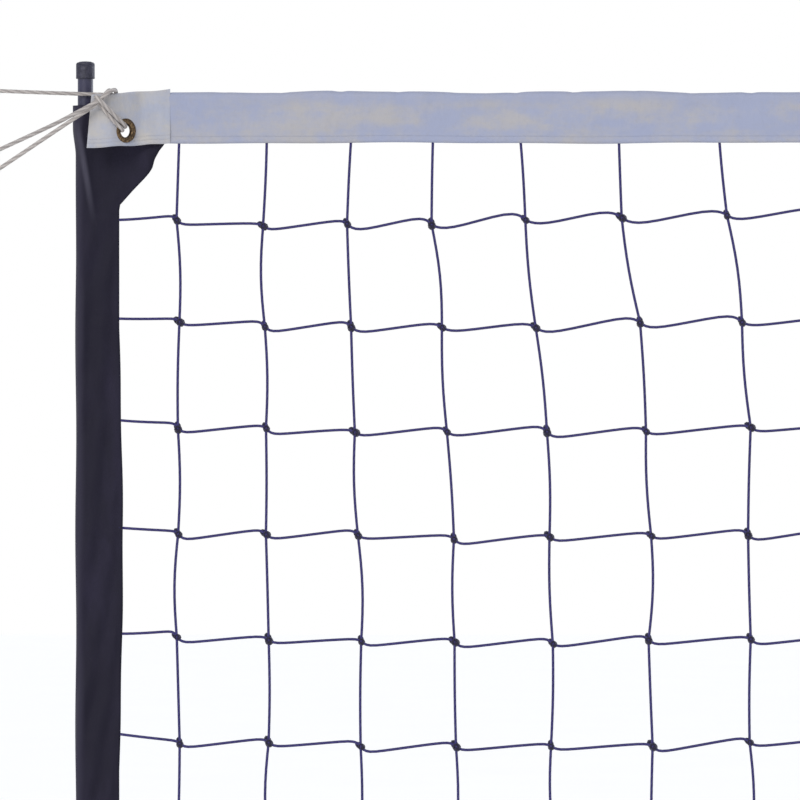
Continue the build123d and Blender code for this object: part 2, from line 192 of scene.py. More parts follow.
def powder_coat():
    """Very dark blue-grey powder coat: orange peel, a few paler rubbed patches and fine dust."""
    coat = Finish("powder_coat", Coat_Weight=0.25, Coat_Roughness=0.25, Specular_IOR_Level=0.6)
    peel = coat.noise(2600, 3)
    rubbed = coat.noise(60, 4, 0.6, (1, 1, 0.25)).between(0.52, 0.78)
    color = coat.mix(rubbed, (0.027, 0.025, 0.062), (0.045, 0.043, 0.092))
    return coat.feed(
        Base_Color=color,
        Roughness=0.34 + 0.16 * rubbed,
        Normal=coat.bump(peel, 0.00012, 0.5),
    )


def moulded_plastic(name, dark, light):
    """Moulded plastic with a fine spark-eroded grain and handling marks."""
    plastic = Finish(name, Specular_IOR_Level=0.45)
    # Handling wear only here: paler, rougher patches at random, with no painted light.
    wear_and_painted_sheen = plastic.noise(110, 5, 0.65).between(0.45, 0.75)
    return plastic.feed(
        Base_Color=plastic.mix(wear_and_painted_sheen, dark, light),
        Roughness=0.46 + 0.16 * wear_and_painted_sheen,
        Normal=plastic.bump(plastic.noise(1800, 2), 0.00018, 0.6),
    )


def vinyl():
    """Dip-moulded vinyl: a soft skin with shallow pits and a paler bloom."""
    skin = Finish("dipped_vinyl", Specular_IOR_Level=0.4)
    bloom = skin.noise(230, 5, 0.7).between(0.40, 0.72)
    pits = skin.noise(900, 4, 0.6)
    return skin.feed(
        Base_Color=skin.mix(bloom, (0.024, 0.023, 0.040), (0.060, 0.058, 0.088)),
        Roughness=0.42 + 0.22 * bloom,
        Normal=skin.bump(pits, 0.0004, 0.7),
    )


def zinc():
    """Zinc-plated steel with long drawing marks."""
    steel = Finish("zinc_plate", Metallic=1.0)
    drawn = steel.noise(900, 3, 0.6, (1, 1, 0.02))
    return steel.feed(
        Base_Color=steel.mix(drawn, (0.42, 0.43, 0.45), (0.62, 0.62, 0.64)),
        Roughness=0.28 + 0.2 * drawn,
        Normal=steel.bump(drawn, 0.0001, 0.4),
    )


def bronze():
    """Aged bronze: dark in its pits, bright where it is rubbed."""
    metal = Finish("aged_bronze", Metallic=0.9)
    tarnish = metal.noise(600, 5, 0.7).between(0.32, 0.62)
    return metal.feed(
        Base_Color=metal.mix(tarnish, (0.27, 0.18, 0.095), (0.060, 0.038, 0.022)),
        Roughness=0.26 + 0.25 * tarnish,
        Normal=metal.bump(tarnish, 0.00012, 0.4),
    )


def weave(finish, pitch):
    """Plain weave: warp and weft threads that go over and under each other, 0 to 1 high."""
    across, along = finish.uv()
    turn = 2 * np.pi / pitch
    warp = (across * turn).sine()
    weft = (along * turn).sine()
    under = (across * (turn / 2)).sine() * (along * (turn / 2)).sine()
    return 0.5 + 0.22 * warp.size() + 0.22 * weft.size() + 0.1 * under


def stitches(finish, where, pitch, width):
    """1 on the thread of a stitched line that lies at where across the piece, and 0 off it."""
    across, along = finish.uv()
    beside = 1 - ((across - where).size() / width).between(0.5, 1.0)
    gap = (along * (np.pi / pitch)).sine().size()
    return beside * gap.between(0.25, 0.5)


def coated_cloth(name, cool, warm, pitch, seams, fold=None):
    """Coated cloth in two tints that drift into each other, with weave, creases, dust and stitched lines.

    Along a fold, if there is one, the cool tint is painted in as a bluish highlight.
    """
    cloth = Finish(name, Sheen_Weight=0.12, Sheen_Roughness=0.5, Specular_IOR_Level=0.3)
    broad = cloth.noise(15, 5, 0.65, (0.6, 1, 1.7))
    streaks = cloth.noise(75, 4, 0.6, (0.8, 1, 0.8))
    drift = (broad * 0.72 + streaks * 0.28).between(0.38, 0.62)
    dust = cloth.noise(260, 5, 0.7).between(0.48, 0.78)
    color = cloth.mix(drift, cool, warm)
    if fold is not None:
        # Painted bluish highlight: the cool tint is laid over the cloth along the fold.
        across, along = cloth.uv()
        painted_fold_highlight = 1 - (across - fold).size().between(3 * MM, 15 * MM)
        color = cloth.mix(painted_fold_highlight * 0.7, color, cool)
    color = cloth.mix(dust * 0.22, color, tuple(0.72 * each for each in warm))
    thread = None
    for where in seams:
        line = stitches(cloth, where, 1.9 * MM, 0.55 * MM)
        thread = line if thread is None else thread + line
    relief = weave(cloth, pitch)
    creases = cloth.noise(55, 3, 0.55, (1, 1, 0.35))
    normal = cloth.bump(creases, 0.004, 0.35)
    normal = cloth.bump(relief, 0.00012, 0.5, normal)
    if thread is not None:
        color = cloth.mix(thread * 0.15, color, tuple(0.8 * each for each in cool))
        normal = cloth.bump(thread, 0.0003, 0.7, normal)
    return cloth.feed(Base_Color=color, Roughness=0.62 + 0.15 * dust, Normal=normal)


PLEAT_SLOPE = 0.165


def black_cloth():
    """Black woven polyester that has gone a little grey and blue, with a painted sheen highlight on the outer
    side of the pole, where it curves round it, and a painted highlight along the pleat.
    """
    cloth = Finish("black_polyester", Sheen_Weight=0.08, Sheen_Roughness=0.45, Specular_IOR_Level=0.2)
    faded = cloth.noise(22, 5, 0.6, (1, 1, 0.4)).between(0.42, 0.8)
    lint = cloth.noise(1500, 2, 0.5).between(0.66, 0.8)
    x, y, z = cloth.parts(cloth.place())
    out = -POLE_X - x.size()
    depth = TOP - z
    # Painted highlight: a paler streak along the crease of the pleat, on the front of the sleeve below its
    # top.
    beside = (out - (depth - 75 * MM) * PLEAT_SLOPE).size()
    pleat = (1 - beside.between(0.5 * MM, 4.5 * MM)) * depth.between(24 * MM, 50 * MM)
    pleat = pleat * (1 - depth.between(70 * MM, 135 * MM)) * (1 - y.between(-8 * MM, -4 * MM))
    # Painted sheen highlight: the cloth is made paler on the outer side of the pole, where it curves round
    # it.
    wear_and_painted_sheen = 1 - (out + faded * (5 * MM)).between(-6.5 * MM, 1.5 * MM)
    color = cloth.mix(faded, (0.0080, 0.0066, 0.0172), (0.0195, 0.0165, 0.0350))
    color = cloth.mix(wear_and_painted_sheen * 0.5, color, (0.040, 0.036, 0.062))
    color = cloth.mix(lint * 0.15, color, (0.12, 0.12, 0.15))
    # The painted highlight colour of the pleat's streak.
    color = cloth.mix(pleat * 0.75, color, (0.070, 0.066, 0.095))
    normal = cloth.bump(cloth.noise(45, 4, 0.55, (1, 1, 0.3)), 0.004, 0.35)
    normal = cloth.bump(weave(cloth, 0.9 * MM), 0.00015, 0.6, normal)
    return cloth.feed(Base_Color=color, Roughness=0.66 + 0.14 * faded, Normal=normal)


def laid_fibre(name, dark, light, twist, strands):
    """Twisted fibre: yarns that run round the cord as they run along it, with painted highlight on their
    crowns and painted shade between them.
    """
    fibre = Finish(name, Sheen_Weight=0.2, Sheen_Roughness=0.5, Specular_IOR_Level=0.3)
    around, along = fibre.uv()
    yarn = ((around * (2 * np.pi * strands)) - along * (2 * np.pi / twist)).sine() * 0.5 + 0.5
    hairs = fibre.noise(1300, 3, 0.6)
    soiled = fibre.noise(40, 4, 0.6).between(0.4, 0.75)
    # Painted highlight and shade: dark in the grooves between the yarns, light on their crowns, with the
    # fibre hairs mixed in.
    color = fibre.mix(yarn * 0.6 + hairs * 0.4, dark, light)
    color = fibre.mix(soiled * 0.3, color, dark)
    return fibre.feed(
        Base_Color=color,
        Roughness=0.6 + 0.2 * hairs,
        Normal=fibre.bump(yarn + hairs * 0.6, 0.00035, 0.7),
    )


FLOOR_GLOW = (1.0, 0.96, 0.91, 1.0)
GLOW_STRENGTH = 0.17


def floor_paint():
    """Pale matt floor with the faintest mottling, lit up a little so that it is as white as the surround."""
    floor = Finish(
        "pale_floor", Specular_IOR_Level=0.2, Emission_Color=FLOOR_GLOW, Emission_Strength=GLOW_STRENGTH
    )
    mottle = floor.noise(1.5, 3)
    return floor.feed(
        Base_Color=floor.mix(mottle, (0.93, 0.92, 0.90), (0.96, 0.95, 0.93)),
        Roughness=0.8 + 0.1 * mottle,
    )


POWDER_COAT = powder_coat()
BLACK_PLASTIC = moulded_plastic("black_nylon", (0.016, 0.016, 0.018), (0.038, 0.038, 0.042))
GREY_PLASTIC = moulded_plastic("grey_acetal", (0.16, 0.16, 0.165), (0.24, 0.24, 0.25))
VINYL = vinyl()
ZINC = zinc()
BRONZE = bronze()
CLOTH_PITCH = 0.8 * MM
TAPE_SEAMS = (9.0 * MM, 91.5 * MM)
TAB_SEAMS = (4.5 * MM, 8.0 * MM)
# The tape's fold at 49 mm across is its upper edge, which gets the painted bluish highlight.
TAPE_CLOTH = coated_cloth(
    "tape_cloth", (0.315, 0.343, 0.468), (0.398, 0.386, 0.397), CLOTH_PITCH, TAPE_SEAMS, fold=49 * MM
)
TAB_CLOTH = coated_cloth("tab_cloth", (0.375, 0.398, 0.486), (0.466, 0.442, 0.420), CLOTH_PITCH, TAB_SEAMS)
BLACK_CLOTH = black_cloth()
# Each fibre's dark colour is its painted shade between the yarns, and its light colour is its painted
# highlight on their crowns.
ROPE_FIBRE = laid_fibre("cream_cord", (0.24, 0.215, 0.205), (0.56, 0.515, 0.485), 12 * MM, 3)
TWINE_FIBRE = laid_fibre("navy_twine", (0.012, 0.010, 0.064), (0.054, 0.044, 0.195), 7 * MM, 3)
KNOT_FIBRE = laid_fibre("navy_knot", (0.002, 0.0015, 0.012), (0.022, 0.016, 0.050), 3 * MM, 2)


# ---- meshes -------------------------------------------------------------------------------
def grid(points, closed=False, capped=False, along=None):
    """Four-sided faces over grids of points, with UVs: a share round or across, and metres along.

    points is one grid or several of one size, (..., rows, columns, 3). closed joins the last column
    to the first, and capped closes the two end rows. Gives points, faces and a UV for each corner.
    """
    points = points.reshape(-1, *points.shape[-3:])
    count, rows, columns = points.shape[:3]
    start = np.arange(count)[:, None, None] * rows * columns
    row = np.arange(rows - 1)[:, None]
    column = np.arange(columns if closed else columns - 1)
    after = (column + 1) % columns
    around = (row, column), (row, after), (row + 1, after), (row + 1, column)
    faces = np.stack([start + r * columns + c for r, c in around], -1).reshape(-1, 4)
    share = np.arange(columns + 1) / (columns if closed else columns - 1)
    if along is None:
        steps = np.linalg.norm(np.diff(points.mean(2), axis=1), axis=-1)
        along = np.concatenate([np.zeros((count, 1)), np.cumsum(steps, 1)], 1)
    along = np.broadcast_to(along, (count, rows))
    uvs = []
    for next_row, next_column in ((0, 0), (0, 1), (1, 1), (1, 0)):
        u = np.broadcast_to(share[column + next_column], (count, rows - 1, len(column)))
        v = np.broadcast_to(along[:, next_row:next_row + rows - 1, None], (count, rows - 1, len(column)))
        uvs.append(np.stack([u, v], -1))
    uv = np.stack(uvs, 3).reshape(-1, 2)
    faces = faces.tolist()
    if capped:
        ring = np.arange(columns)
        for each in range(count):
            first = each * rows * columns
            faces.append((first + ring[::-1]).tolist())
            faces.append((first + (rows - 1) * columns + ring).tolist())
        uv = np.concatenate([uv, np.zeros((2 * count * columns, 2))])
    return points.reshape(-1, 3), faces, uv


def joined(*parts):
    """Several grids as one: their points, faces and UVs."""
    shift = 0
    faces = []
    for points, part_faces, uv in parts:
        faces += [[index + shift for index in face] for face in part_faces]
        shift += len(points)
    return np.concatenate([part[0] for part in parts]), faces, np.concatenate([part[2] for part in parts])


def piece(name, part, finish, node=None):
    """A Blender object from points, faces and UVs, which rides with the net and stands for a node."""
    points, faces, uv = part
    mesh = bpy.data.meshes.new(name)
    mesh.from_pydata(points.tolist(), [], faces)
    layer = mesh.uv_layers.new(name="UVMap")
    layer.data.foreach_set("uv", np.ascontiguousarray(uv, np.float32).ravel())
    mesh.shade_smooth()
    mesh.materials.append(finish)
    made = bpy.data.objects.new(name, mesh)
    bpy.context.scene.collection.objects.link(made)
    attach(made, NET_BODY)
    if node:
        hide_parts(node)
    return made


def mirrored(part, side):
    """The part for a pole: as it is for the left one, and its mirror image for the right one."""
    points, faces, uv = part
    if SIDES[side] == 1:
        return part
    corner = np.cumsum([0] + [len(face) for face in faces])
    order = np.concatenate([np.arange(corner[i], corner[i + 1])[::-1] for i in range(len(faces))])
    return points * (-1, 1, 1), [face[::-1] for face in faces], uv[order]


def smoothstep(value, low, high):
    """0 at or under low, 1 at or over high, with a level start and end."""
    share = np.clip((value - low) / (high - low), 0, 1)
    return share * share * (3 - 2 * share)


def ring_frames(paths):
    """Two unit vectors square to each path at each point, carried along it with no twist."""
    tangent = np.gradient(paths, axis=-2)
    tangent /= np.linalg.norm(tangent, axis=-1, keepdims=True)
    side = np.zeros_like(tangent)
    guide = np.where(np.abs(tangent[..., :1, 1:2]) > 0.9, (0.0, 0.0, 1.0), (0.0, 1.0, 0.0))[..., 0, :]
    for step in range(paths.shape[-2]):
        here = tangent[..., step, :]
        guide = guide - here * np.sum(guide * here, -1, keepdims=True)
        guide /= np.linalg.norm(guide, axis=-1, keepdims=True)
        side[..., step, :] = guide
    return side, np.cross(tangent, side)


def tube(paths, radius, sides, lobes=0, lay=0.0, depth=0.0):
    """Round tubes along paths: path + radius * (cos * side + sin * normal).

    With lobes, the section has that many strands, depth of the radius deep between them, and it
    turns once in each lay along the path, as a laid rope does.
    """
    side, normal = ring_frames(paths)
    steps = np.linalg.norm(np.diff(paths, axis=-2), axis=-1)
    along = np.concatenate([np.zeros((*steps.shape[:-1], 1)), np.cumsum(steps, -1)], -1)
    angle = np.arange(sides) * 2 * np.pi / sides
    reach = np.broadcast_to(radius, along.shape)[..., None] * np.ones(sides)
    if lobes:
        strand = np.abs(np.cos(lobes / 2 * (angle - 2 * np.pi * along[..., None] / lay)))
        reach = reach * (1 - depth + depth * strand)
    ring = np.cos(angle)[:, None] * side[..., None, :] + np.sin(angle)[:, None] * normal[..., None, :]
    points = paths[..., None, :] + reach[..., None] * ring
    return grid(points, closed=True, capped=True, along=along.reshape(-1, along.shape[-1]))


def lathe(profile, centre, axis, sides=48):
    """A profile of (radius, height) turned round an axis: centre + height * axis + radius * (cos, sin)."""
    axis = np.array(Vector(axis).normalized())
    side = np.array(Vector(axis).orthogonal().normalized())
    angle = np.arange(sides) * 2 * np.pi / sides
    ring = np.cos(angle)[:, None] * side + np.sin(angle)[:, None] * np.cross(axis, side)
    radius, height = np.array(profile).T
    points = np.array(centre) + height[:, None, None] * axis + radius[:, None, None] * ring
    return grid(points, closed=True)


# ---- ropes --------------------------------------------------------------------------------
def from_tape(point):
    """A place given in millimetres: out from the left pole, across, and up from the tape's upper edge."""
    return (POLE_X + point[0] * MM, point[1] * MM, TOP + point[2] * MM)


def rope_curve(name, route, side):
    """An open spline of order 3 with the route's points as its control points."""
    data = bpy.data.curves.new(name, "CURVE")
    data.dimensions = "3D"
    data.resolution_u = 10
    spline = data.splines.new("NURBS")
    spline.points.add(len(route) - 1)
    for point, place in zip(spline.points, route):
        x, y, z = from_tape(place)
        point.co = (x * SIDES[side], y, z, 1.0)
    spline.order_u = 3
    spline.use_endpoint_u = True
    return bpy.data.objects.new(name, data)


def spline_points(name, route, side):
    """The points along a route's smooth line."""
    curve = rope_curve(name, route, side)
    bpy.context.scene.collection.objects.link(curve)
    bpy.context.view_layer.update()
    mesh = bpy.data.meshes.new_from_object(curve)
    points = np.zeros(len(mesh.vertices) * 3)
    mesh.vertices.foreach_get("co", points)
    bpy.data.objects.remove(curve)
    bpy.data.meshes.remove(mesh)
    points = points.reshape(-1, 3)
    apart = np.concatenate([[True], np.linalg.norm(np.diff(points, axis=0), axis=1) > 1e-6])
    return points[apart]


def spaced(points, step):
    """The same line with its points an even step apart."""
    lengths = np.concatenate([[0], np.cumsum(np.linalg.norm(np.diff(points, axis=0), axis=1))])
    wanted = np.linspace(0, lengths[-1], max(8, round(lengths[-1] / step)))
    return np.stack([np.interp(wanted, lengths, points[:, axis]) for axis in range(3)], -1)


def laid_rope(points, diameter, step=0.9 * MM):
    """Three-strand rope: a tube whose three lobes turn once in 4 diameters."""
    return tube(spaced(points, step), diameter / 2, 15, lobes=3, lay=4 * diameter, depth=0.06)


HITCH_TOP = (12.0, -49.6, -5.6)
FRONT_ROUTE = [
    HITCH_TOP,
    (15.4, -53.6, -8.8),
    (24.6, -49.4, -18.2),
    (34.0, -42.0, -27.8),
    (41.2, -35.0, -34.4),
    (38.6, -29.8, -34.8),
    (35.2, -25.2, -33.2),
    (33.0, -29.2, -20.0),
    (31.4, -31.0, -9.0),
    (30.8, -31.5, 1.0),
    (29.4, -41.6, 1.0),
    (24.6, -46.6, -0.8),
    (20.4, -49.0, -5.0),
    (13.6, -50.4, -10.6),
    (-10.8, -60.2, -24.2),
    (-30.0, -68.8, -34.9),
    (-104.0, -101.0, -70.2),
]
REAR_ROUTE = [
    HITCH_TOP,
    (13.4, -45.2, -10.0),
    (21.6, -44.8, -20.6),
    (30.8, -41.8, -31.2),
    (38.4, -36.8, -38.0),
    (35.8, -31.4, -38.2),
    (31.8, -26.8, -36.4),
    (29.0, -32.0, -22.0),
    (26.4, -34.6, -9.0),
    (25.6, -35.2, 0.6),
    (24.0, -44.6, 0.4),
    (18.2, -48.0, -6.6),
    (12.0, -49.2, -13.9),
    (-2.0, -47.4, -22.6),
    (-14.0, -42.4, -30.0),
    (-102.0, -1.4, -86.6),
]
HEADLINE_ROUTE = [
    (65.9, -10.4, -3.5),
    (10.0, -10.4, -2.9),
    (-107.0, -10.4, 2.0),
]
EYE_HALF = [(2.6, 0.0), (3.6, 9.0), (13.0, 27.0), (13.0, 52.0)]
EYE_ROUTE = EYE_HALF + [(-out, along) for out, along in reversed(EYE_HALF)]
KNOT_LENGTH = 17.0
KNOT_WRAPS = 3.5


def eye_part(name, route, side, diameter):
    """A rope's end: wraps round the standing part, an eye beyond them, and the short end laid back."""
    end = Vector(route[-1])
    way = (end - Vector(route[-2])).normalized()
    upright = (Vector((0, 0, 1)) - way * way.z).normalized()
    across = way.cross(upright)
    radius = diameter / MM / 2

    def lay_out(out, up, over=0.0):
        return tuple(end + way * out + upright * up + across * over)

    loop = spline_points(name, [lay_out(KNOT_LENGTH + v, u) for u, v in EYE_ROUTE], side)
    turn = np.linspace(0, 2 * np.pi * KNOT_WRAPS, 90)
    out = radius + (KNOT_LENGTH - 2 * radius) * turn / turn[-1]
    wrap = np.array([end]) + out[:, None] * way + 1.9 * radius * (
        np.cos(turn)[:, None] * np.array(upright) + np.sin(turn)[:, None] * np.array(across)
    )
    wrap = np.array([from_tape(each) for each in wrap]) * (SIDES[side], 1, 1)
    core_route = [lay_out(-3, 0), lay_out(4, 1.2), lay_out(12, -1.2), lay_out(KNOT_LENGTH + 2, 0)]
    core = spline_points(name, core_route, side)
    short_route = [lay_out(2, -4.6, 1.0), lay_out(-4, -5.6, 2.4), lay_out(-12, -5.0, 3.2)]
    short = spline_points(name, short_route, side)
    return joined(
        laid_rope(loop, diameter),
        laid_rope(wrap, diameter),
        laid_rope(core, 1.6 * diameter),
        laid_rope(short, diameter),
    )


def add_rope(side, kind, route, diameter, nodes):
    """One taut rope with the knotted eye at its end."""
    knot = eye_part(kind, route, side, diameter)
    eye = piece(f"{side}_{kind}_knot", knot, ROPE_FIBRE, node=f"{side}_{kind}_eye")
    points = spline_points(kind, route, side)
    rope = piece(f"{side}_{kind}_rope", laid_rope(points, diameter), ROPE_FIBRE)
    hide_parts(*nodes)


def add_ropes():
    for side in SIDES:
        nodes = [f"{side}_front_guy_tail", f"{side}_guy_hitch"]
        add_rope(side, "front_guy", FRONT_ROUTE, ROPE_D, nodes)
        add_rope(side, "rear_guy", REAR_ROUTE, ROPE_D, [f"{side}_rear_guy_tail"])
        add_rope(side, "headline", HEADLINE_ROUTE, HEADLINE_D, [f"{side}_headline_tail"])


# ---- net ----------------------------------------------------------------------------------
def column_x(column, depth):
    """Where an upright twine is at a depth under the tape's upper edge.

    Even columns, plus a slow drift along the net that fades in below the tape, less two short waves
    that fade out down the net, plus a pull at every ninth column under the tape and a little unevenness.
    """
    below = np.maximum(depth - TAPE_HEIGHT, 0)
    drift = 31 * MM * (1 - np.cos(6 * np.pi * column / (COLUMNS - 1)))
    wave = np.sin(np.pi * column / 8) ** 2
    fade_in = 1 - 0.7 * np.exp(-((below / (130 * MM)) ** 2))
    fade_out = 23 * MM * np.exp(-((below / (250 * MM)) ** 1.5))
    sway = 5 * MM * np.sin(2 * np.pi * column / 8.5) * np.exp(-((depth / (400 * MM)) ** 2))
    gather = 12 * MM * np.exp(-((((column + 2) % 9 - 4) / 1.4) ** 2)) * np.exp(-((below / (50 * MM)) ** 2))
    unevenness = 1.3 * MM * np.sin(2.7 * column + 31 * depth) + 0.9 * MM * np.sin(5.3 * column - 17 * depth)
    even = POLE_X + FIRST_COLUMN + column * COLUMN_PITCH
    return even + drift * fade_in - wave * fade_out - sway + gather + unevenness


def knot_places():
    """The knots' places, (rows, columns, 3): where even rows, a little slack, meet the columns' lines."""
    row = np.arange(ROWS + 1)[:, None] + 0.0
    column = np.arange(COLUMNS)[None, :] + 0.0
    level = row * MESH_BAR + TOP_KNOTS
    hang = np.sin(np.pi * row / ROWS)
    slack = (4.6 * np.sin(np.pi * column / 6.8) ** 2 + 0.4 * row) * MM * hang
    wave = 4 * MM * np.sin(2 * np.pi * (column - 0.1) / 8.5)
    slack = slack + wave * np.exp(-(((row - 1) / 1.2) ** 2)) * (row > 0)
    low_knot = 5 * MM * np.exp(-((((column + 3) % 9 - 4) / 0.8) ** 2))
    slack = slack + low_knot * np.exp(-(((row - 1) / 0.6) ** 2))
    slack = slack + 1.2 * MM * np.sin(3.9 * column + 2.2 * row) * (row > 0) * (row < ROWS)
    x = column_x(column, level)
    y = NET_Y + 5 * MM * hang * np.sin(0.31 * column + 0.6 * row)
    return np.stack([x, np.broadcast_to(y, x.shape), TOP - level - slack], -1)


def upright_lines(knots):
    """Each column's twine: straight from knot to knot, with a bow of up to 3 mm in each bar."""
    share = np.linspace(0, 1, 9)[:-1]
    upper, lower = knots[:-1], knots[1:]
    line = upper[:, None] + share[None, :, None, None] * (lower - upper)[:, None]
    row = np.arange(ROWS)[:, None, None]
    column = np.arange(COLUMNS)[None, None, :]
    bow = 2.1 * MM * np.sin(1.9 * column + 2.6 * row) + 1.2 * MM * np.sin(4.4 * column + 1.1 * row)
    line[..., 0] += bow * np.sin(np.pi * share)[None, :, None]
    line = line.reshape(-1, COLUMNS, 3)
    return np.concatenate([line, knots[-1:]]).transpose(1, 0, 2)


def level_lines(knots, edge_x):
    """Each row's twine, from sleeve to sleeve: it leaves a knot at its foot and comes to the next's head."""
    lift = np.array([0, 0, 3, 8, 6, 3, 9, 5, 2, 0]) * MM
    ends = []
    for x, beside in ((edge_x, knots[:, 0]), (-edge_x, knots[:, -1])):
        end = np.stack([np.full(ROWS + 1, x), np.full(ROWS + 1, NET_Y), beside[:, 2] + lift], -1)
        ends.append(end[:, None])
    stops = np.concatenate([ends[0], knots, ends[1]], 1)
    share = np.array([0, 0.03, 0.06, 0.1, 0.16, 0.24, 0.35, 0.5, 0.65, 0.77, 0.86, 0.91, 0.94, 0.975])
    before, after = stops[:, :-1], stops[:, 1:]
    line = before[:, :, None] + share[None, None, :, None] * (after - before)[:, :, None]
    row = np.arange(ROWS + 1)[:, None]
    bar = np.arange(stops.shape[1] - 1)[None, :]
    upper_rows = np.exp(-((row - 1.0) ** 2) / 1.5) * np.sin(np.pi * np.clip(bar - 1, 0, 7) / 8) ** 2
    dip = 5.6 + 1.6 * np.sin(2.1 * bar + 1.3 * row) + 4.0 * upper_rows
    rise = 4.2 + 1.9 * np.sin(1.4 * bar + 2.9 * row) + 7.0 * upper_rows
    hanging = (row > 0) & (row < ROWS)
    dip = dip * (bar > 0) * hanging
    rise = rise * (bar < stops.shape[1] - 2) * hanging
    dip, rise, turn = (each[:, :, None] for each in (dip * MM, rise * MM, 0.05 + 0.08 * upper_rows))
    leaving = (1 - share) ** 1.4 * (1 - np.exp(-share / turn))
    arriving = share**1.4 * (1 - np.exp(-(1 - share) / turn))
    line[..., 2] += rise * arriving - dip * leaving
    line = line.reshape(ROWS + 1, -1, 3)
    return np.concatenate([line, stops[:, -1:]], 1)


KNOT_STRAND_R = 1.35 * MM
KNOT_STEPS = 10
KNOT_SIDES = 5


def knot_part(crossings):
    """Sheet-bend knots: two slanting loops of twine hooked through each other at every crossing.

    Each loop is a tube round an ellipse, whose plane leans to one side of the net's plane. The knots
    differ in lean and size only.
    """
    row = np.arange(len(crossings))[:, None]
    column = np.arange(COLUMNS)[None, :]
    lean = (0.60 + 0.40 * np.sin(1.7 * column + 2.1 * row)).reshape(-1)
    size = (1.0 + 0.10 * np.sin(2.9 * column + 1.2 * row)).reshape(-1)
    centre = crossings.reshape(-1, 3)
    way = np.stack([np.sin(lean), np.zeros_like(lean), -np.cos(lean)], -1)
    over = np.stack([np.cos(lean), np.zeros_like(lean), np.sin(lean)], -1)
    front = np.array((0.0, -1.0, 0.0))
    around = np.arange(KNOT_STEPS) * 2 * np.pi / KNOT_STEPS
    ring = np.arange(KNOT_SIDES) * 2 * np.pi / KNOT_SIDES
    loops = []
    for long, wide, slide, dip in (
        (3.4 * MM, 2.1 * MM, -1.1 * MM, 0.55),
        (2.6 * MM, 2.5 * MM, 1.3 * MM, -0.65),
    ):
        reach = 1 + KNOT_STRAND_R * np.cos(ring)[None, :] / wide
        along = slide + long * np.cos(around)[:, None] * reach
        across = wide * np.sin(around)[:, None] * reach
        towards = KNOT_STRAND_R * np.sin(ring)[None, :] + dip * along
        loop = centre[:, None, None] + size[:, None, None, None] * (
            along[None, :, :, None] * way[:, None, None]
            + across[None, :, :, None] * over[:, None, None]
            + towards[None, :, :, None] * front
        )
        loops.append(grid(np.concatenate([loop, loop[:, :1]], 1), closed=True))
    return joined(*loops)


def add_net():
    knots = knot_places()
    uprights = tube(upright_lines(knots), TWINE_R, TWINE_SIDES)
    levels = tube(level_lines(knots, POLE_X + INTO_SLEEVE), TWINE_R, TWINE_SIDES)
    piece("net_uprights", uprights, TWINE_FIBRE, node="net_mesh")
    piece("net_levels", levels, TWINE_FIBRE)
    piece("net_knots", knot_part(knots[1:-1]), KNOT_FIBRE)


# ---- tape and hem -------------------------------------------------------------------------
FOLD_R = 2.9 * MM
TAPE_GAP = 1.75 * MM
HEM_GAP = 1.7 * MM
CLOTH_THICKNESS = 0.8 * MM
SLEEVE_THICKNESS = 0.7 * MM


def strip_section(height, fold_radius, gap, share):
    """Across a folded strip: up one layer, round the rope, down the other.

    Gives across and up for shares from -1 to 1.
    """
    turn_share = fold_radius * np.pi / 2 / (height + fold_radius * (np.pi / 2 - 1))
    away = np.abs(share)
    angle = np.clip(away / turn_share, 0, 1) * np.pi / 2
    down = np.clip((away - turn_share) / (1 - turn_share), 0, 1)
    across = fold_radius * np.sin(angle) + (gap - fold_radius) * smoothstep(down, 0.02, 0.3)
    up = -fold_radius * (1 - np.cos(angle)) - down * (height - fold_radius)
    return across * np.sign(share), up


def tape_crest(reach):
    """How high the tape's upper edge stands over its mean: two waves, less a notch every 57 mm."""
    notch = np.exp(-((((reach * 1000) % 57.0) - 20) / 5.0) ** 2) * (0.6 + 0.4 * np.sin(reach * 31))
    return 0.9 * MM * np.sin(reach * 26 + 1.0) + 0.5 * MM * np.sin(reach * 61) - 1.1 * MM * notch


def hem_sway(reach):
    """How high the hem's foot stands over its mean."""
    return 1.4 * MM * np.sin(reach * 7 + 0.5) + 0.6 * MM * np.sin(reach * 29)


def tape_part():
    """The tape: a folded strip with a sagging, notched upper edge, soft cockles and long slanting folds."""
    x = np.linspace(tape_low.x, tape_high.x, 1200)[:, None]
    share = np.linspace(-1, 1, 37)[None, :]
    across, up = strip_section(TAPE_HEIGHT, FOLD_R, TAPE_GAP, share)
    reach = x - POLE_X
    crest = tape_crest(reach)
    foot = 0.5 * MM * np.sin(reach * 19 + 2.0) + 0.3 * MM * np.sin(reach * 47)
    depth = -up / TAPE_HEIGHT
    z = TOP - 0.6 * MM + up + crest * (1 - depth) ** 2 + foot * depth**2
    cockle = 0.45 * MM * np.sin(reach * 150 + 3 * np.sin(reach * 23)) * (1 - depth) ** 2
    fold = 0.8 * MM * np.sin(reach * 33 + depth * 4.0 + np.sin(reach * 9)) * np.sin(np.pi * depth)
    seam = 0.35 * MM * np.exp(-(((depth * TAPE_HEIGHT - 40 * MM) / (1.4 * MM)) ** 2))
    y = NET_Y + across + fold - np.sign(share) * (seam - cockle * 0.8)
    points = np.stack([np.broadcast_to(x, z.shape), y, z], -1)
    part = grid(points[:, ::-1], along=x[:, 0] - tape_low.x)
    part[2][:, 0] *= 2 * TAPE_HEIGHT
    return part


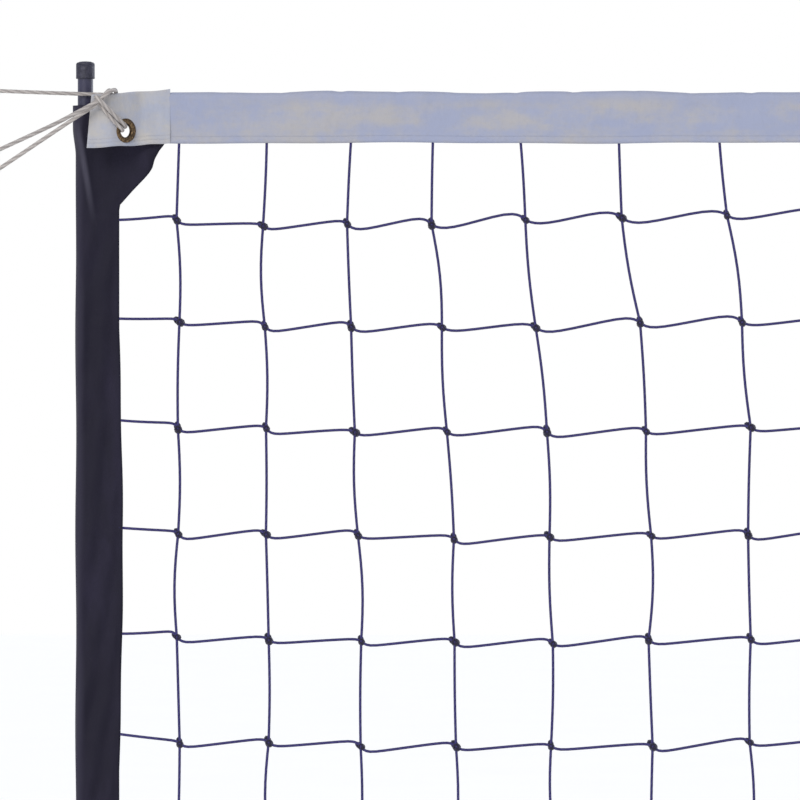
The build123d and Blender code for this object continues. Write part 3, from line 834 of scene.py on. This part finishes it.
def hem_part():
    """The bottom hem: a narrow folded strip that stands on its fold, with the foot rope inside."""
    x = np.linspace(hem_low.x, hem_high.x, 900)[:, None]
    share = np.linspace(-1, 1, 21)[None, :]
    height = hem_high.z - hem_low.z
    across, up = strip_section(height, FOLD_R, HEM_GAP, share)
    reach = x - POLE_X
    sway = hem_sway(reach)
    y = NET_Y + across + 0.6 * MM * np.sin(reach * 90 + up * 300)
    z = hem_low.z + 1.6 * MM - up + sway
    points = np.stack([np.broadcast_to(x, z.shape), y, z], -1)
    part = grid(points, along=x[:, 0] - hem_low.x)
    part[2][:, 0] *= 2 * height
    return part


def thicken(made, thickness):
    """Give a cloth surface its thickness, outwards from the surface it was made on."""
    modifier = made.modifiers.new("thickness", "SOLIDIFY")
    modifier.thickness = thickness
    modifier.offset = 1.0
    return made


def add_tape_and_hem():
    tape = piece("top_tape_cloth", tape_part(), TAPE_CLOTH, node="top_tape")
    thicken(tape, CLOTH_THICKNESS)
    hem = piece("bottom_hem_cloth", hem_part(), BLACK_CLOTH, node="bottom_hem")
    thicken(hem, CLOTH_THICKNESS)
    for node, level, wander in (
        ("headline", TOP - 3.8 * MM, tape_crest),
        ("foot_rope", hem_low.z + 4.5 * MM, hem_sway),
    ):
        low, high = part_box(node)
        x = np.arange(low.x, high.x, 3 * MM)
        path = np.stack([x, np.full_like(x, NET_Y), level + wander(x - POLE_X)], -1)
        core = tube(path, HEADLINE_D / 2, 9, lobes=3, lay=14 * MM, depth=0.16)
        piece(node + "_core", core, ROPE_FIBRE, node=node)


# ---- sleeve -------------------------------------------------------------------------------
GUSSET_TOP = 45.0
SLEEVE_EASE = 1.3
LAYER_HALF = 0.9


def sleeve_edge(depth):
    """How far out from the pole the sleeve's sewn edge is: straight, but drawn out to the tape in a gusset.

    The gusset's edge slants from the tape, steepens round a knee, and meets the sleeve at 45 degrees.
    """
    plain = 34.4 + 2.2 * np.sin((depth - 290) * 2 * np.pi / 620) + 0.35 * np.sin(depth * 0.053)
    depths = np.array([0, GUSSET_TOP - 0.1, GUSSET_TOP, 50.8, 57, 65, 73.7, 78.5, 83.6, 96, 109.5, 115, 2000])
    reaches = np.array([0, 0, 78.5, 77.1, 72.2, 67.8, 65.4, 62.4, 58.0, 46.0, 33.9, 33.0, 33.0])
    return np.maximum(plain, np.interp(depth, depths, reaches))


def sleeve_part():
    """The sleeve: at each level, a loop round the pole that two straight layers join to the sewn edge.

    Its front layer has a pleat, long and cross folds, and a ridge over each row of twine inside it.
    """
    top, foot = (TOP - sleeve_high.z) / MM, (TOP - sleeve_low.z) / MM
    depth = np.concatenate([
        np.linspace(top, GUSSET_TOP - 0.1, 14),
        np.linspace(GUSSET_TOP, 118, 44),
        np.linspace(121, foot, 190),
    ])[:, None]
    edge = sleeve_edge(depth)
    flare = 2.8 * (1 - smoothstep(depth, 34, 62)) + 0.5 * np.sin(depth * 0.033) * smoothstep(depth, 60, 200)
    radius = TUBE_R / MM + SLEEVE_EASE + flare
    side_y = NET_Y / MM
    span = np.hypot(edge, side_y)
    toward = np.arctan2(side_y, edge)
    spread = np.arccos(np.clip((radius - 0.8) / span, -1, 1))

    lines, bends = 16, 24
    share = np.linspace(0, 1, lines)[None, :]
    turn = np.linspace(0, 1, bends)[None, 1:-1]
    front = toward - spread
    back = toward + spread
    angle = front - turn * (2 * np.pi - 2 * spread)
    foot_front = np.stack([radius * np.cos(front), radius * np.sin(front)], -1)
    foot_back = np.stack([radius * np.cos(back), radius * np.sin(back)], -1)
    edge_front = np.stack([edge, np.full_like(edge, side_y - LAYER_HALF)], -1)
    edge_back = np.stack([edge, np.full_like(edge, side_y + LAYER_HALF)], -1)
    loop = np.concatenate([
        edge_front + share[..., None] * (foot_front - edge_front),
        np.stack([radius * np.cos(angle), radius * np.sin(angle)], -1),
        foot_back + share[..., None] * (edge_back - foot_back),
    ], 1)
    x, y = loop[..., 0], loop[..., 1]

    on_front = smoothstep(-y, 2.0, 8.0)
    streak = (x - (-6.5 + (depth - 35) * PLEAT_SLOPE)) / 3.4
    pleat = 2.6 * np.exp(-streak**2) * smoothstep(depth, 24, 44) * (1 - smoothstep(depth, 95, 140))
    long_folds = np.sin(x * 0.30 + depth * 0.035 + 2 * np.sin(depth * 0.011)) * smoothstep(depth, 60, 240)
    cross_folds = 0.7 * np.sin(depth * 0.11 + x * 0.21) * np.sin(depth * 0.023 + 1.0)
    off_row = (depth - TOP_KNOTS / MM + 0.12 * (edge - x)) % (MESH_BAR / MM)
    twine_ridge = 0.9 * np.exp(-(((off_row - 4) / 2.4) ** 2)) * smoothstep(depth, 90, 110)
    off_edge = smoothstep(edge - x, 0, 9)
    sag = (on_front * (0.3 + pleat + long_folds + cross_folds + twine_ridge)) * off_edge
    rear = smoothstep(y, 0.0, 6.0) * 0.8 * np.sin(depth * 0.045 + x * 0.2) * off_edge
    y = y - sag + rear
    points = np.stack([POLE_X + x * MM, y * MM, TOP - np.broadcast_to(depth, x.shape) * MM], -1)
    part = grid(points, along=depth[:, 0] * MM)
    part[2][:, 0] *= 84 * MM
    return part


def add_sleeves():
    for side in SIDES:
        part = mirrored(sleeve_part(), side)
        made = piece(
            f"{side}_sleeve_cloth", part, BLACK_CLOTH, node=f"{side}_side_sleeve"
        )
        thicken(made, SLEEVE_THICKNESS)


# ---- tab and eyelet -----------------------------------------------------------------------
TAB_ROUTE = [(83.0, -13.9), (78.0, -14.3), (54.0, -18.8), (27.0, -39.9), (7.4, -42.0)]
TAB_NEAR_X = 7.4
TAB_LENGTH = 75.6
TAB_WIDTH = 50.0
TAB_HALF = 1.0
HOLE_R = 8.6 * MM
EYELET_WAY = np.array((0.6157, -0.7880, 0.0))
EYELET_CENTRE = np.array(from_tape(np.array((39.3, -29.0, -38.2)) + EYELET_WAY * TAB_HALF))


def tab_part():
    """The tab: its plan is a smooth line through its bends, its outline leans, and its faces close round it.

    The faces within the eyelet's hole are left out.
    """
    route = np.array(TAB_ROUTE)
    steps = np.concatenate([[0], np.cumsum(np.linalg.norm(np.diff(route, axis=0), axis=1))])
    wanted = np.linspace(0, steps[-1], 84)
    plan = np.stack([np.interp(wanted, steps, route[:, axis]) for axis in (0, 1)], -1)
    for _ in range(14):
        plan[1:-1] = (plan[:-2] + 2 * plan[1:-1] + plan[2:]) / 4
    x = plan[:, 0]
    tangent = np.gradient(plan, axis=0)
    tangent /= np.linalg.norm(tangent, axis=1, keepdims=True)
    normal = np.stack([-tangent[:, 1], tangent[:, 0]], -1)
    share = np.linspace(0, 1, 46)
    out = 1 - (x - TAB_NEAR_X) / TAB_LENGTH
    top = 2.6 - 6.7 * out + 0.4 * np.sin(x * 0.16)
    foot = -49.8 - 5.8 * out + 0.35 * np.sin(x * 0.21 + 1)
    z = top[:, None] + (foot - top)[:, None] * share
    lean = -4.6 * share[None, :] * smoothstep(out[:, None], 0.6, 1.0)
    ripple = 0.55 * np.sin(x[:, None] * 0.19 + z * 0.09) + 0.4 * np.sin(x[:, None] * 0.08 - z * 0.17)
    ripple *= smoothstep(out[:, None], 0.05, 0.2)
    halves = []
    from_end = np.minimum(wanted, wanted[-1] - wanted)[:, None]
    edge = np.minimum(np.minimum(share, 1 - share)[None, :] * TAB_WIDTH, from_end)
    half = (0.35 + 0.65 * smoothstep(wanted, 0, 9))[:, None] * np.sqrt(np.clip(edge / 1.2, 0, 1)) + 0.02
    for face in (1, -1):
        offset = ripple + face * half
        place_x = x[:, None] + lean + normal[:, None, 0] * offset
        place_y = plan[:, None, 1] + normal[:, None, 1] * offset
        halves.append(np.stack([POLE_X + place_x * MM, place_y * MM, TOP + z * MM], -1))
    front, back = halves
    parts = []
    for points in (front, back[:, ::-1]):
        made = grid(points[:, ::-1], along=wanted * MM)
        made[2][:, 0] *= TAB_WIDTH * MM
        parts.append(made)
    points, faces, uv = joined(*parts)
    middle = points[np.array(faces)].mean(1) - EYELET_CENTRE
    keep = np.linalg.norm(middle, axis=1) > HOLE_R
    uv = uv.reshape(-1, 4, 2)[keep].reshape(-1, 2)
    return points, [face for face, kept in zip(faces, keep) if kept], uv


def barrel_profile():
    """The eyelet's front half: a crowned flange that rolls into the hole and out at the back."""
    angle = np.linspace(0, np.pi, 15)
    flange = np.stack([(9.3 - 2.5 * np.cos(angle)), 1.0 + 1.3 * np.sin(angle)], -1)[::-1]
    inside = [(6.75, 0.4), (6.65, -1.0), (6.75, -2.0), (7.4, -2.2), (7.4, -1.0), (11.0, 0.95)]
    return [(radius * MM, height * MM) for radius, height in [*flange, *inside, flange[0]]]


def washer_profile():
    """The eyelet's back half: a thin dished ring."""
    points = [(12.0, -1.1), (11.4, -1.75), (8.6, -2.3), (6.7, -2.5), (6.5, -1.6), (7.2, -1.05), (12.0, -1.1)]
    return [(radius * MM, height * MM) for radius, height in points]


def add_tabs():
    for side in SIDES:
        part = mirrored(tab_part(), side)
        tab = piece(f"{side}_tab_cloth", part, TAB_CLOTH, node=f"{side}_tape_tab")
        for kind, profile in (("barrel", barrel_profile()), ("washer", washer_profile())):
            ring = mirrored(lathe(profile[::-1], EYELET_CENTRE, EYELET_WAY), side)
            node = f"{side}_eyelet_{kind}"
            piece(node + "_ring", ring, BRONZE, node=node)


# ---- poles --------------------------------------------------------------------------------
def cap_profile():
    """The cap: a lip at its mouth, straight sides, a round shoulder and a low crown, then its bore."""
    radius = (cap_high.x - cap_low.x) / 2
    height = cap_high.z - cap_low.z
    angle = np.linspace(0, np.pi / 2, 9)
    shoulder = 2.2 * MM
    crown_rise = 1.0 * MM
    lip = radius + 0.1 * MM
    bore_r = TUBE_R + 0.02 * MM
    bore_top = height - 3.0 * MM
    flat_top = height - crown_rise
    sides = [(radius - 0.2 * MM, 0), (lip, 0.5 * MM), (lip, 1.4 * MM), (radius, 2.0 * MM)]
    sides += [(radius, height * 0.5), (radius, height - shoulder - crown_rise)]
    round_part = [
        (radius - shoulder * (1 - np.cos(a)), flat_top - shoulder * (1 - np.sin(a))) for a in angle
    ]
    crown = [(radius * s, flat_top + crown_rise * (1 - s * s)) for s in (0.6, 0.4, 0.2, 0.02)]
    bore = [(0.02 * radius, bore_top), (bore_r, bore_top), (bore_r, 0)]
    return [*sides, *round_part, *crown, *bore, sides[0]]


def add_poles():
    for side in SIDES:
        part = lathe(cap_profile(), (POLE_X, 0, cap_low.z), (0, 0, 1), sides=40)
        piece(f"{side}_vinyl_cap", mirrored(part, side), VINYL, node=f"{side}_end_cap")
        for node, finish in (
            ("bottom_tube", POWDER_COAT),
            ("middle_tube", POWDER_COAT),
            ("top_tube", POWDER_COAT),
            ("foot_plug", BLACK_PLASTIC),
            ("ground_spike", ZINC),
            ("lower_lock_base", BLACK_PLASTIC),
            ("lower_lock_nut", BLACK_PLASTIC),
            ("lower_lock_collet", GREY_PLASTIC),
            ("upper_lock_base", BLACK_PLASTIC),
            ("upper_lock_nut", BLACK_PLASTIC),
            ("upper_lock_collet", GREY_PLASTIC),
            ("middle_guide", GREY_PLASTIC),
            ("top_guide", GREY_PLASTIC),
        ):
            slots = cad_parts[f"{side}_{node}"].data.materials
            slots.clear()
            slots.append(finish)


# ---- stage, light and camera --------------------------------------------------------------
VIEW_WIDTH = 0.7779
VIEW_CENTRE = Vector((POLE_X + 306.3 * MM, NET_Y, TOP - 299.5 * MM))
CAMERA_AWAY = 8.0
SENSOR = 36.0
FLOOR_SIZE = 120.0


def add_camera():
    """A long lens, level and square to the net."""
    data = bpy.data.cameras.new("camera")
    camera = bpy.data.objects.new("camera", data)
    camera.location = VIEW_CENTRE + Vector((0, -CAMERA_AWAY, 0))
    camera.rotation_euler = (np.pi / 2, 0, 0)
    data.sensor_width = SENSOR
    data.lens = SENSOR * CAMERA_AWAY / VIEW_WIDTH
    data.clip_end = 200.0
    bpy.context.scene.collection.objects.link(camera)
    bpy.context.scene.camera = camera


def add_light(name, way, spread, strength, color):
    """Even light that comes from a wide patch of sky, so that both ends of the net get the same."""
    data = bpy.data.lights.new(name, "SUN")
    data.angle = spread
    data.energy = strength
    data.color = color
    light = bpy.data.objects.new(name, data)
    light.rotation_euler = Vector(way).to_track_quat("-Z", "Y").to_euler()
    bpy.context.scene.collection.objects.link(light)


def add_stage():
    """A pale floor, a white surround and two soft lights."""
    half = FLOOR_SIZE / 2
    corners = [(-half, -half, 0), (half, -half, 0), (half, half, 0), (-half, half, 0)]
    mesh = bpy.data.meshes.new("floor")
    mesh.from_pydata(corners, [], [(0, 1, 2, 3)])
    mesh.materials.append(floor_paint())
    floor = bpy.data.objects.new("floor", mesh)
    bpy.context.scene.collection.objects.link(floor)
    world = bpy.data.worlds.new("surround")
    world.use_nodes = True
    nodes, links = world.node_tree.nodes, world.node_tree.links
    shown = nodes["Background"]
    shown.inputs["Color"].default_value = (1, 1, 1, 1)
    shown.inputs["Strength"].default_value = 1.0
    fill = nodes.new("ShaderNodeBackground")
    fill.inputs["Color"].default_value = (0.86, 0.91, 1.0, 1)
    fill.inputs["Strength"].default_value = 0.62
    path = nodes.new("ShaderNodeLightPath")
    mix = nodes.new("ShaderNodeMixShader")
    links.new(path.outputs["Is Camera Ray"], mix.inputs[0])
    links.new(fill.outputs[0], mix.inputs[1])
    links.new(shown.outputs[0], mix.inputs[2])
    links.new(mix.outputs[0], nodes["World Output"].inputs["Surface"])
    bpy.context.scene.world = world
    add_light("key", (1.6, 3.2, -2.2), 0.45, 1.55, (1.0, 0.98, 0.95))
    add_light("rim", (-2.2, -1.6, -0.8), 0.5, 1.0, (0.86, 0.9, 1.0))
    bpy.context.scene.view_settings.view_transform = "Standard"


add_camera()
add_stage()
add_ropes()
add_net()
add_tape_and_hem()
add_sleeves()
add_tabs()
add_poles()
